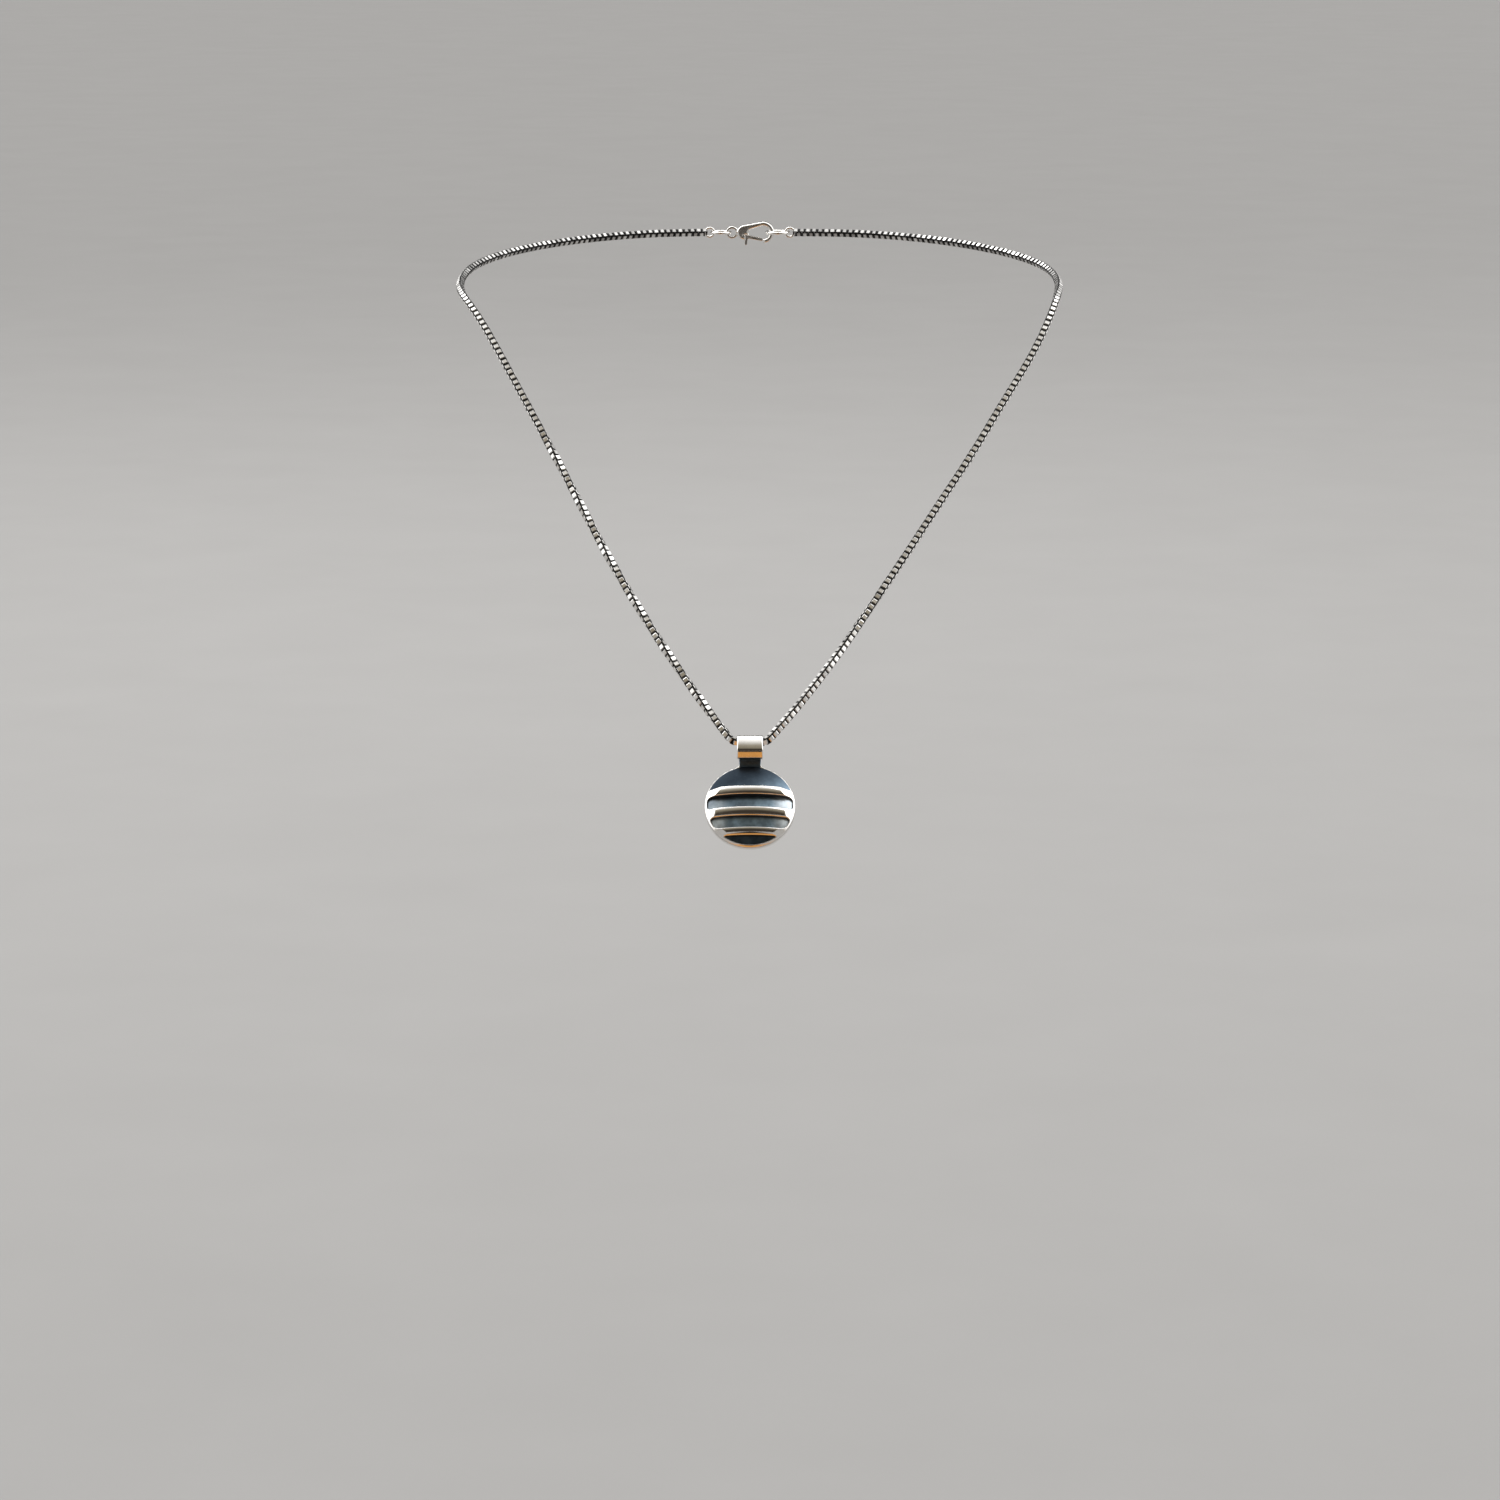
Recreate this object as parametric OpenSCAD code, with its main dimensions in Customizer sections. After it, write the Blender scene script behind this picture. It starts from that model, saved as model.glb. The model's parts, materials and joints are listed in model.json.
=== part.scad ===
// Silver pendant necklace: a round domed pendant on a fine box chain, held the way it lies
// when it is worn. X points to the wearer's left, Y to the back, Z up. The origin is in the
// middle of the neck opening, level with the points where the chain crosses the shoulders.

/* [Chain] */
// Width of the box chain
chain_w = 1.5; // [1.2:0.1:1.6]
// Space left open on each side of a place where the chain bends freely
bend_gap = 0.5; // [0.45:0.05:0.8]

/* [Pendant disc] */
// Diameter of the back plate
disc_d = 18; // [17.8:0.1:18.4]
// Thickness of the back plate
plate_t = 0.9; // [0.7:0.1:1.2]
// Rise of the dark dome above the back plate
dome_rise = 1.7; // [1.6:0.1:2]
// Wall thickness of the dark dome
dome_t = 0.5; // [0.4:0.1:0.8]
// Radius of the dark dome where it meets the back plate
dome_r = 8.85; // [8.6:0.05:8.9]
// Distance from the chain down to the centre of the disc
disc_drop = 13.3; // [13:0.1:14]
// How far the pendant leans back from upright
pendant_lean = 38; // [30:1:45]

/* [Polished grille] */
// Height of the grille above the back plate, where it is highest
grille_rise = 3.2; // [3:0.1:3.6]
// Where the grille is highest, measured up from the disc's centre
crown_v = 1.7; // [1:0.1:3]
// Radius of the sphere that the three bars' fronts lie on
crown_r = 25; // [24:1:32]
// Steepness of the bevelled rim that the bars run out into
bevel_angle = 42; // [38:1:50]
// Height of the grille's outer edge above the back plate
rim_edge_h = 0.35; // [0.3:0.05:0.5]
// Width of the rim left outside the windows
rim_w = 0.45; // [0.35:0.05:0.6]
// Corner radius of the upper, middle and lower windows
corner_r = [0.75, 0.75, 0.3]; // [0.2:0.05:0.8]
// Widths of the top, middle and bottom bars
bar_w = [1.8, 1.8, 1.5]; // [1.4:0.05:1.9]
// Distances between the middles of neighbouring bars, from the top
bar_pitch = [4.5, 3.95]; // [3.8:0.05:4.6]
// Middle bar's centre line, measured up from the disc's centre
mid_bar_v = -2.05; // [-2.2:0.05:-1.9]

/* [Bail] */
// Width of the bail along the chain
bail_w = 5.2; // [4.8:0.1:5.6]
// Height of the bail's loop
bail_h = 5.4; // [5.2:0.1:5.6]
// Depth of the bail's loop from front to back
bail_d = 4.2; // [4:0.1:4.4]
// Thickness of the bail's band
bail_t = 0.58; // [0.5:0.02:0.62]
// Distance from the chain up to the top of the bail
bail_top = 1.8; // [1.7:0.05:1.9]
// Width of the tab between bail and disc
tab_w = 4.3; // [3.8:0.1:4.6]
// Thickness of the tab
tab_t = 0.8; // [0.6:0.1:1]

/* [Clasp] */
// Thickness of the lobster claw
claw_t = 1.8; // [1.6:0.1:1.8]
// Thickness of the claw's eye
eye_t = 1.0; // [0.8:0.1:1]
// Thickness of the spring lever
lever_t = 0.8; // [0.7:0.05:0.85]
// Width of the slot that the lever turns in
slot_t = 0.95; // [0.95:0.05:1.05]
// Radius of the lever's pin
pin_r = 0.3; // [0.25:0.05:0.3]
// Wire thickness of the two small end rings
end_wire = 0.5; // [0.4:0.05:0.5]
// Wire thickness of the clasp's jump ring
clasp_wire = 0.6; // [0.5:0.05:0.6]
// Wire thickness of the catch ring
catch_wire = 0.7; // [0.6:0.05:0.7]

/* [Hidden] */
$fn = 96;
eps = 0.01;

// Where the chain lies inside the bail
hang = [0, -78, -84];
// Middle of the clasp, at the nape of the neck
nape = [1, 49, 6];

// Route of the chain on the wearer's right, from the clasp round the neck and down to the bail
left_route = [
    [-10, 49, 6], [-22, 47.5, 6], [-37, 40, 5.5], [-50, 28, 4.5], [-58, 17, 3], [-61, 9, 1.5],
    [-62, 0, 0],
    [-61, -9, -1.5], [-57.5, -15.5, -4.5], [-52.5, -22, -12], [-47, -29, -21], [-41, -36.5, -30.5],
    [-35, -44, -40.5], [-29, -52, -50.5], [-22.5, -59.5, -60], [-15.5, -66.5, -69.5],
    [-9, -72.5, -77.5], [-5.5, -76, -81.5], [-3.6, -77.5, -83.3],
];
// Route of the chain on the wearer's left, also from the clasp to the bail
right_route = [
    [10, 49, 6], [24, 48, 6], [40, 40, 5.5], [53, 28, 4.5], [61.5, 17, 3], [65, 9, 1.5],
    [66, 0, 0],
    [65, -9, -1.5], [63.5, -15.5, -4.5], [59, -22.5, -13], [53, -29, -21], [46, -37, -31.5],
    [39, -44, -40.5], [32, -51.5, -50], [25, -58.5, -59], [17.5, -66, -68.5],
    [10, -72.5, -77], [5.5, -76, -81.5], [3.6, -77.5, -83.3],
];
// The route point that lies on the shoulder, where the back chain meets the front chain
shoulder = 6;
// Rings swept for each step of a route
rings_per_step = 2;
// Sides of a swept chain tube
tube_sides = 8;

// A smooth curve near a list of points: s counts the points, and may lie between them
function route_point(p, i) =
    i < 0 ? 2 * p[0] - p[1] :
    i >= len(p) ? 2 * p[len(p) - 1] - p[len(p) - 2] :
    p[i];
function on_route(p, s) =
    let (i = min(floor(s), len(p) - 2), t = s - i)
    ((1 - t)^3 * route_point(p, i - 1) + (3 * t^3 - 6 * t^2 + 4) * route_point(p, i)
    + (1 + 3 * t + 3 * t^2 - 3 * t^3) * route_point(p, i + 1) + t^3 * route_point(p, i + 2)) / 6;
function unit(v) = v / norm(v);
function along(p, s) = unit(on_route(p, s + eps) - on_route(p, s - eps));

// One ring of a tube's corners, square to the route
function tube_ring(p, s, r) =
    let (side = unit(cross(along(p, s), [0, 0, 1])), up = cross(side, along(p, s)))
    [for (k = [0:tube_sides - 1])
        on_route(p, s) + r * (cos(360 * k / tube_sides) * side + sin(360 * k / tube_sides) * up)];

// A closed tube along a route between two places on it
module chain_tube(p, from, to) {
    steps = round((to - from) * rings_per_step);
    corners = [for (i = [0:steps]) each tube_ring(p, from + (to - from) * i / steps, chain_w / 2)];
    last = steps * tube_sides;
    polyhedron(corners, concat(
        [[for (k = [0:tube_sides - 1]) k]],
        [for (i = [0:steps - 1], k = [0:tube_sides - 1])
            let (a = i * tube_sides, n = (k + 1) % tube_sides)
            [a + k, a + tube_sides + k, a + tube_sides + n, a + n]],
        [[for (k = [tube_sides - 1:-1:0]) last + k]]));
}

// How far along a route counts for one millimetre at the shoulder
shoulder_step = 1 / norm(on_route(left_route, shoulder + 0.5) - on_route(left_route, shoulder - 0.5));
gap_step = bend_gap * shoulder_step;

module chain_back_left() color("silver")
    chain_tube(left_route, 0, shoulder - gap_step);
module chain_back_right() color("silver")
    chain_tube(right_route, 0, shoulder - gap_step);
module chain_front_left() color("silver")
    chain_tube(left_route, shoulder + gap_step, len(left_route) - 1);
module chain_front_right() color("silver")
    chain_tube(right_route, shoulder + gap_step, len(right_route) - 1);

// The few links inside the bail, which the pendant swings on
links_inset = 0.1;
links_slack = 0.05;
links_len = bail_w - 2 * links_inset;
links_r = chain_w / 2 - links_slack;
module bail_links() color("silver")
    translate(hang) rotate([0, 90, 0]) cylinder(r = links_r, h = links_len, center = true);

// The pendant's own frame: origin on the chain, X along it, Y up the pendant, Z out of its face
module at_pendant() {
    translate(hang) rotate([90 - pendant_lean, 0, 0]) children();
}
// The disc's frame: origin at its centre, on the front face of the back plate
plate_top = plate_t - bail_d / 2;
module at_disc() {
    at_pendant() translate([0, -disc_drop, plate_top]) children();
}

edge_break = 0.12;
module back_plate() color("silver") at_disc() rotate_extrude() polygon([
    [0, -plate_t], [disc_d / 2 - edge_break, -plate_t], [disc_d / 2, -plate_t + edge_break],
    [disc_d / 2, -edge_break], [disc_d / 2 - edge_break, 0], [0, 0],
]);

// Solid cap of a sphere over a disc: radius, height at its edge and height at its centre
module cap(r, edge_h, top_h) {
    sphere_r = (r^2 + (top_h - edge_h)^2) / (2 * (top_h - edge_h));
    intersection() {
        translate([0, 0, top_h - sphere_r]) sphere(sphere_r);
        cylinder(r = r, h = top_h + 1);
    }
}

dome_edge = 0.15;
cavity_r = dome_r - 1;
cavity_edge = 0.02;
module dome() color("#3a4048") at_disc() difference() {
    cap(dome_r, dome_edge, dome_rise);
    translate([0, 0, -eps]) cap(cavity_r, cavity_edge, dome_rise - dome_t);
}

function bar_v(i) = mid_bar_v + (i == 0 ? bar_pitch[0] : i == 2 ? -bar_pitch[1] : 0);
function bar_upper(i) = bar_v(i) + bar_w[i] / 2;
function bar_lower(i) = bar_v(i) - bar_w[i] / 2;

// A band across the disc between two heights
module band(low, high) {
    translate([-disc_d, low]) square([2 * disc_d, high - low]);
}
module window(low, high, r) {
    offset(r = r) offset(delta = -r) intersection() {
        circle(disc_d / 2 - rim_w);
        band(low, high);
    }
}
module grille_outline() difference() {
    circle(disc_d / 2);
    band(bar_upper(0), disc_d);
    window(bar_upper(1), bar_lower(0), corner_r[0]);
    window(bar_upper(2), bar_lower(1), corner_r[1]);
    window(-disc_d, bar_lower(2), corner_r[2]);
}
// Outer form of the grille: a gently crowned front with a straight bevel round it
form_h = grille_rise + 1;
module grille_form() intersection() {
    translate([0, crown_v, grille_rise - crown_r]) sphere(crown_r);
    rotate_extrude() polygon([
        [0, 0], [disc_d / 2, 0], [disc_d / 2, rim_edge_h],
        [disc_d / 2 - (form_h - rim_edge_h) / tan(bevel_angle), form_h], [0, form_h],
    ]);
}
module grille() color("gainsboro") at_disc() difference() {
    intersection() {
        grille_form();
        linear_extrude(form_h) grille_outline();
    }
    cap(dome_r, dome_edge, dome_rise);
}

// The bail's oval loop seen along the chain
module bail_loop(inset) {
    translate([0, bail_top - bail_h / 2]) scale([bail_d / 2 - inset, bail_h / 2 - inset]) circle(1);
}
module bail_band(length, inset) {
    rotate([90, 0, 0]) rotate([0, 90, 0]) linear_extrude(length, center = true)
        rotate(90) bail_loop(inset);
}
module bail() color("gainsboro") at_pendant() difference() {
    bail_band(bail_w, 0);
    bail_band(bail_w + 1, bail_t);
}

// Tab from the bottom of the bail to the rim of the disc, a little in front of the bail's back
tab_lap = 1;
tab_inset = 0.3;
tab_low = -disc_drop + disc_d / 2 - tab_lap;
tab_high = bail_top - bail_h * 3 / 4;
tab_back = -bail_d / 2 + tab_inset;
module bail_tab() color("#3a4048") difference() {
    at_pendant() translate([-tab_w / 2, tab_low, tab_back]) cube([tab_w, tab_high - tab_low, tab_t]);
    at_pendant() bail_band(bail_w + 1, 0);
    at_disc() translate([0, 0, -plate_t]) cylinder(d = disc_d, h = plate_t);
    at_disc() cap(dome_r, dome_edge, dome_rise);
}

// The clasp's frame: X along the chain, Y down to the lever's side, Z through its thickness
module at_clasp() {
    translate(nape) rotate([-90, 0, 0]) children();
}
// A plate with a given outline, centred on the clasp's mid plane
module clasp_plate(thickness) {
    linear_extrude(thickness, center = true) children();
}
through = claw_t + 1;
claw_r = 2.4;
claw_x = 2;
claw_inner_r = 1.5;
claw_inner_x = claw_x - 0.1;
neck_r = 1.6;
neck_x = -2.3;
throat_r = 0.75;
throat_x = -0.6;
eye_x = -5;
eye_r = 1.4;
eye_hole_r = 0.85;
eye_neck = [2, 1.2];
eye_neck_x = eye_x + 1.2;
pivot = [-2.5, 0.6];
mouth = pivot + [0.55, -0.05];
slot = pivot - [0.9, 0.75];
slot_l = 2.6;
module clasp_outline() difference() {
    hull() {
        translate([claw_x, 0]) circle(claw_r);
        translate([neck_x, 0]) circle(neck_r);
    }
    hull() {
        translate([claw_inner_x, 0]) circle(claw_inner_r);
        translate([throat_x, 0]) circle(throat_r);
    }
    translate(mouth) square([claw_x - mouth[0], claw_r]);
}
module clasp_body() color("silver") at_clasp() difference() {
    union() {
        clasp_plate(claw_t) clasp_outline();
        clasp_plate(eye_t) {
            translate([eye_x, 0]) circle(eye_r);
            translate([eye_neck_x, -eye_neck[1] / 2]) square(eye_neck);
        }
    }
    clasp_plate(slot_t) translate(slot) square([slot_l, claw_r]);
    translate([eye_x, 0]) cylinder(r = eye_hole_r, h = through, center = true);
    translate(pivot) cylinder(r = pin_r, h = through, center = true);
}
// The lever closes the mouth, and turns into the claw when its thumb nub is pressed
lever_r = 0.6;
lever_gap = 0.03;
arm_r = 0.35;
arm_root = pivot + [0.3, 0.25];
arm_tip = [claw_x - 0.42, 1.55];
nub_root_r = 0.4;
nub_root = pivot + [0.7, 0.5];
nub_tip = pivot + [0.6, 1.9];
module clasp_lever() color("gainsboro") at_clasp() difference() {
    clasp_plate(lever_t) {
        translate(pivot) circle(lever_r);
        hull() {
            translate(arm_root) circle(arm_r);
            translate(arm_tip) circle(arm_r);
        }
        hull() {
            translate(nub_root) circle(nub_root_r);
            translate(nub_tip) circle(arm_r);
        }
    }
    translate(pivot) cylinder(r = pin_r + lever_gap, h = through, center = true);
}
module clasp_pin() color("silver") at_clasp()
    translate(pivot) cylinder(r = pin_r, h = claw_t, center = true);
// A leaf spring on the slot's floor, under the lever's hub
spring_at = pivot + [0.1, -0.68];
spring_size = [1.3, 0.1, 0.5];
module clasp_spring() color("gray") at_clasp()
    translate(spring_at) cube(spring_size, center = true);

// A round wire ring: flat in XY, or turned to stand in XZ
module wire_ring(mean_r, wire) {
    rotate_extrude() translate([mean_r, 0]) circle(d = wire);
}
end_ring_r = 1.0;
clasp_ring_r = 2.1;
catch_ring_r = 2.4;
ring_play = 0.05;
// The jump ring hangs in the clasp's eye, and the catch ring in the end of the claw
clasp_ring_x = eye_x - clasp_ring_r - 0.4;
catch_ring_x = claw_inner_x + claw_inner_r - catch_wire / 2 + catch_ring_r - 0.3;
end_left_x = clasp_ring_x - clasp_ring_r + clasp_wire / 2 + end_wire / 2 + ring_play - end_ring_r;
end_right_x = catch_ring_x + catch_ring_r - catch_wire / 2 - end_wire / 2 - ring_play + end_ring_r;
module at_ring(x, stand) {
    translate(nape + [x, 0, 0]) rotate([stand, 0, 0]) children();
}
module clasp_ring() color("silver") at_ring(clasp_ring_x, 0) wire_ring(clasp_ring_r, clasp_wire);
module catch_ring() color("silver") at_ring(catch_ring_x, 0) wire_ring(catch_ring_r, catch_wire);
module end_ring_left() color("silver") at_ring(end_left_x, 90) wire_ring(end_ring_r, end_wire);
module end_ring_right() color("silver") at_ring(end_right_x, 90) wire_ring(end_ring_r, end_wire);

back_plate();
dome();
grille();
bail_tab();
bail();
bail_links();
chain_front_left();
chain_front_right();
chain_back_left();
chain_back_right();
end_ring_left();
clasp_ring();
clasp_body();
clasp_lever();
clasp_pin();
clasp_spring();
catch_ring();
end_ring_right();
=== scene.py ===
"""A silver pendant necklace on a fine box chain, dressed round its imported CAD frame."""

import json
import math

import bpy
import numpy as np
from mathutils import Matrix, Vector


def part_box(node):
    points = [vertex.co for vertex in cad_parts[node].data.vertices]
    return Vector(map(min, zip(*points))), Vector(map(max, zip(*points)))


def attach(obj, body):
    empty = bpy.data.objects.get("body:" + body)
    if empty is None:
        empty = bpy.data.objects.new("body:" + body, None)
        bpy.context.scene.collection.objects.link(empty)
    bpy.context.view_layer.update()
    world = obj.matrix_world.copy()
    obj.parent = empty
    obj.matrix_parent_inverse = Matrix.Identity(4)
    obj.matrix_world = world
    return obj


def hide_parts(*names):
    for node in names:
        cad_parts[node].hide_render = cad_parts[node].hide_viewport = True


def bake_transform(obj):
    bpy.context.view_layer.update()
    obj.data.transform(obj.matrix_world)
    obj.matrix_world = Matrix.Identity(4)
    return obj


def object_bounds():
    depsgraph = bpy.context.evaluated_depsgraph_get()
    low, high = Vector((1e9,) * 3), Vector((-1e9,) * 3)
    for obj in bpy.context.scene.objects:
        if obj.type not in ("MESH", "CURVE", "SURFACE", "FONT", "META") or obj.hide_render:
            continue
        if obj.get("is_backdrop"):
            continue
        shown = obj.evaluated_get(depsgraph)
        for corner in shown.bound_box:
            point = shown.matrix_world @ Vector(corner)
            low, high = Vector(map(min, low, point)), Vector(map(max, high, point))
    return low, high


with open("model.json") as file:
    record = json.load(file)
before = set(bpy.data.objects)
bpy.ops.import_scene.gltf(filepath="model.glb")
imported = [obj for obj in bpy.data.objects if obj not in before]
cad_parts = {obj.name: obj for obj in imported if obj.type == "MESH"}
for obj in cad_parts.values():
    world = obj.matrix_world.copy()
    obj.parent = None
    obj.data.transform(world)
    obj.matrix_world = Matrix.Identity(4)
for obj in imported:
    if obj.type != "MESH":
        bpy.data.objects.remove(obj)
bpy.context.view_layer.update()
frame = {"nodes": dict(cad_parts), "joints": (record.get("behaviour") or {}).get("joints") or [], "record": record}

MM = 0.001
joints = {joint["name"]: joint for joint in frame["joints"]}
mounts = {mount["name"]: mount for mount in frame["record"]["mounts"]}

# The chain's centre inside the bail, which the pendant hangs on
hang = np.array(joints["pendant_swing"]["pos_m"])
# The pendant's own axes: X across, Y up the pendant, Z out of its face
across = np.array([1.0, 0.0, 0.0])
outward = -np.array(mounts["pendant_back"]["axis"])
outward /= np.linalg.norm(outward)
upward = np.cross(outward, across)
pendant_axes = np.stack([across, upward, outward], axis=1)


def add_object(name, data):
    """A new object in the scene for a mesh, a light or a camera."""
    thing = bpy.data.objects.new(name, data)
    bpy.context.collection.objects.link(thing)
    return thing


# ---------------------------------------------------------------- camera

CAMERA_DISTANCE = 0.9
CAMERA_ELEVATION = math.radians(12)
CAMERA_LENS = 108
SENSOR_WIDTH = 36
AIM_BELOW_CHAIN = 0.0012


def make_camera():
    """A camera in front of the pendant, a little above it and looking down at it."""
    data = bpy.data.cameras.new("camera")
    data.lens = CAMERA_LENS
    data.sensor_width = SENSOR_WIDTH
    data.clip_start = 0.01
    camera = add_object("camera", data)
    aim = Vector(hang) - Vector((0, 0, AIM_BELOW_CHAIN))
    back = Vector((0, -math.cos(CAMERA_ELEVATION), math.sin(CAMERA_ELEVATION)))
    camera.location = aim + CAMERA_DISTANCE * back
    camera.rotation_euler = back.to_track_quat("Z", "Y").to_euler()
    bpy.context.scene.camera = camera
    bpy.context.scene.view_settings.view_transform = "Standard"


make_camera()


# ---------------------------------------------------------------- material helpers

class NodeTree:
    """The nodes of a material or of the surroundings."""

    def __init__(self, owner):
        owner.use_nodes = True
        self.nodes, self.links = owner.node_tree.nodes, owner.node_tree.links

    def add(self, kind, **settings):
        node = self.nodes.new(kind)
        for key, value in settings.items():
            setattr(node, key, value)
        return node

    def feed(self, socket, value):
        """Sets a socket to a number or colour, or links it to another node's output."""
        if isinstance(value, bpy.types.NodeSocket):
            self.links.new(value, socket)
        else:
            socket.default_value = value

    def mix(self, factor, a, b):
        node = self.add("ShaderNodeMix", data_type="RGBA")
        self.feed(node.inputs["Factor"], factor)
        for socket, colour in ((node.inputs[6], a), (node.inputs[7], b)):
            self.feed(socket, colour if isinstance(colour, bpy.types.NodeSocket) else (*colour, 1))
        return node.outputs[2]

    def math_vector(self, operation, a, b):
        node = self.add("ShaderNodeVectorMath", operation=operation)
        self.feed(node.inputs[0], a)
        self.feed(node.inputs[1], b)
        return node.outputs[0]

    def math(self, operation, a, b=0.0):
        node = self.add("ShaderNodeMath", operation=operation)
        self.feed(node.inputs[0], a)
        self.feed(node.inputs[1], b)
        return node.outputs[0]

    def dot(self, vector, direction):
        """How far a vector reaches in a fixed direction."""
        node = self.add("ShaderNodeVectorMath", operation="DOT_PRODUCT")
        self.feed(node.inputs[0], vector)
        node.inputs[1].default_value = direction
        return node.outputs["Value"]

    def spread(self, value, low, high, to_low=0.0, to_high=1.0):
        """Maps value from low..high to to_low..to_high, held at both ends."""
        node = self.add("ShaderNodeMapRange", interpolation_type="SMOOTHSTEP")
        for socket, number in zip(node.inputs[:5], (value, low, high, to_low, to_high)):
            self.feed(socket, number)
        return node.outputs[0]


class Shader(NodeTree):
    """A node material under construction; its coordinates are millimetres in the object's frame."""

    def __init__(self, name):
        self.material = bpy.data.materials.new(name)
        super().__init__(self.material)
        self.surface = self.nodes["Principled BSDF"]
        self.place = self.math_vector("MULTIPLY", self.add("ShaderNodeTexCoord").outputs["Object"],
                                      (1 / MM, 1 / MM, 1 / MM))

    def noise(self, scale, detail=3.0, stretch=(1, 1, 1), roughness=0.5):
        """Noise with a number of lumps a millimetre, stretched along an axis if wanted."""
        node = self.add("ShaderNodeTexNoise")
        self.feed(node.inputs["Vector"], self.math_vector("MULTIPLY", self.place, stretch))
        node.inputs["Scale"].default_value = scale
        node.inputs["Detail"].default_value = detail
        node.inputs["Roughness"].default_value = roughness
        return node.outputs["Fac"]

    def attribute(self, name):
        return self.add("ShaderNodeAttribute", attribute_name=name).outputs["Fac"]

    def bump(self, *layers):
        """Stacks bump layers, each a (height, depth in millimetres) pair."""
        normal = None
        for height, depth in layers:
            node = self.add("ShaderNodeBump")
            node.inputs["Distance"].default_value = depth * MM
            self.feed(node.inputs["Height"], height)
            if normal is not None:
                self.feed(node.inputs["Normal"], normal)
            normal = node.outputs["Normal"]
        self.feed(self.surface.inputs["Normal"], normal)

    def set(self, **inputs):
        names = {"colour": "Base Color", "roughness": "Roughness", "metallic": "Metallic"}
        for key, value in inputs.items():
            if isinstance(value, tuple):
                value = (*value, 1)
            self.feed(self.surface.inputs[names[key]], value)


SILVER = (0.91, 0.89, 0.86)
TARNISH = (0.30, 0.26, 0.21)
# Near-black for tight corners: oxide there, and painted shade
OXIDE_AND_SHADE = (0.030, 0.032, 0.036)
# The links' dark colour is oxide, and also painted shade in their gaps
CHAIN_DARK, CHAIN_BRIGHT = (0.045, 0.044, 0.043), (0.90, 0.885, 0.86)
STEEL_DARK, STEEL_BRIGHT = (0.34, 0.34, 0.35), (0.55, 0.55, 0.56)


def polished_silver(name, variation=0.5):
    """Polished silver: soft hand-buffed unevenness, handling scratches, oxide and painted shade darkening its
    corners.
    """
    s = Shader(name)
    cavity = s.attribute("open")
    cloud = s.noise(0.35, detail=4)
    buffing = s.noise(0.8, detail=2)
    scratches = s.math("MAXIMUM", s.noise(2.2, stretch=(0.25, 5, 3)), s.noise(2.0, stretch=(5, 0.3, 2)))
    haze = s.spread(cloud, 0.35, 0.7)
    # Near-black where the open attribute is low: oxide in the corners and painted shade there
    oxide_and_shade = s.spread(s.math("ADD", cavity, s.math("MULTIPLY", buffing, 0.3)), 0.35, 0.95, 1.0, 0.0)
    clean = s.mix(s.math("MULTIPLY", haze, 0.25 * variation), SILVER, TARNISH)
    s.set(colour=s.mix(s.math("MULTIPLY", oxide_and_shade, 0.9), clean, OXIDE_AND_SHADE), metallic=1.0)
    rough = s.math("ADD", s.spread(cloud, 0.3, 0.75, 0.10, 0.10 + 0.14 * variation),
                   s.spread(scratches, 0.62, 0.8, 0.0, 0.10))
    s.set(roughness=s.math("ADD", rough, s.math("MULTIPLY", oxide_and_shade, 0.35)))
    s.bump((buffing, 0.010), (scratches, 0.0012))
    return s.material


# The oxidised face's colours: dense, lighter, a painted highlight at the windows' ends, and in brush strokes
BLUE_BLACK, LIGHTER_BLUE, END_HIGHLIGHT, STROKE = ((0.014, 0.021, 0.031), (0.35, 0.49, 0.62),
                                               (0.80, 0.87, 0.92), (0.24, 0.26, 0.28))


def oxidised_silver():
    """Satin silver sulphide: blue-black and dense towards the bail, greyer lower down, lighter to the right as a
    painted highlight, with a painted highlight at the windows' ends.
    """
    s = Shader("oxidised_silver")
    cloud = s.noise(0.5, detail=5, roughness=0.6)
    grain = s.noise(6.0, detail=2)
    strokes = s.noise(3.0, stretch=(0.3, 4, 4))
    below_chain = s.math("ADD", s.dot(s.place, tuple(-upward)), float(hang @ upward) / MM)
    aside = s.add("ShaderNodeSeparateXYZ")
    s.feed(aside.inputs[0], s.place)
    # Lightening to the right is a painted highlight, a reflection of a bright side panel
    right = s.math("MULTIPLY", aside.outputs["X"], 0.35)
    lighter_down_and_right = s.spread(s.math("ADD", below_chain, right), 6.5, 17.0, 0.04, 1.0)
    lighter_down_and_right = s.math("MULTIPLY", lighter_down_and_right, s.spread(below_chain, 18.0, 20.5, 1.0, 0.25))
    variation = s.math("MAXIMUM", lighter_down_and_right, s.spread(below_chain, 5.2, 3.6, 0.0, 0.3))
    lightness = s.math("MULTIPLY", s.spread(cloud, 0.3, 0.75, 0.5, 1.0), variation)
    base = s.mix(lightness, BLUE_BLACK, LIGHTER_BLUE)
    # A pale patch at each window's end is a painted highlight
    ends = s.math("MULTIPLY", s.spread(s.math("ABSOLUTE", aside.outputs["X"]), 3.8, 6.6),
                  s.spread(below_chain, 9.8, 12.0))
    base = s.mix(s.math("MULTIPLY", ends, lightness), base, END_HIGHLIGHT)
    base = s.mix(s.spread(strokes, 0.55, 0.8, 0.0, 0.12), base, STROKE)
    bare = s.attribute("bare")
    s.set(colour=s.mix(bare, base, SILVER), metallic=0.92)
    s.set(roughness=s.math("SUBTRACT", s.spread(cloud, 0.3, 0.75, 0.30, 0.42), s.math("MULTIPLY", bare, 0.2)))
    s.bump((grain, 0.004), (strokes, 0.003))
    return s.material


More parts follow.
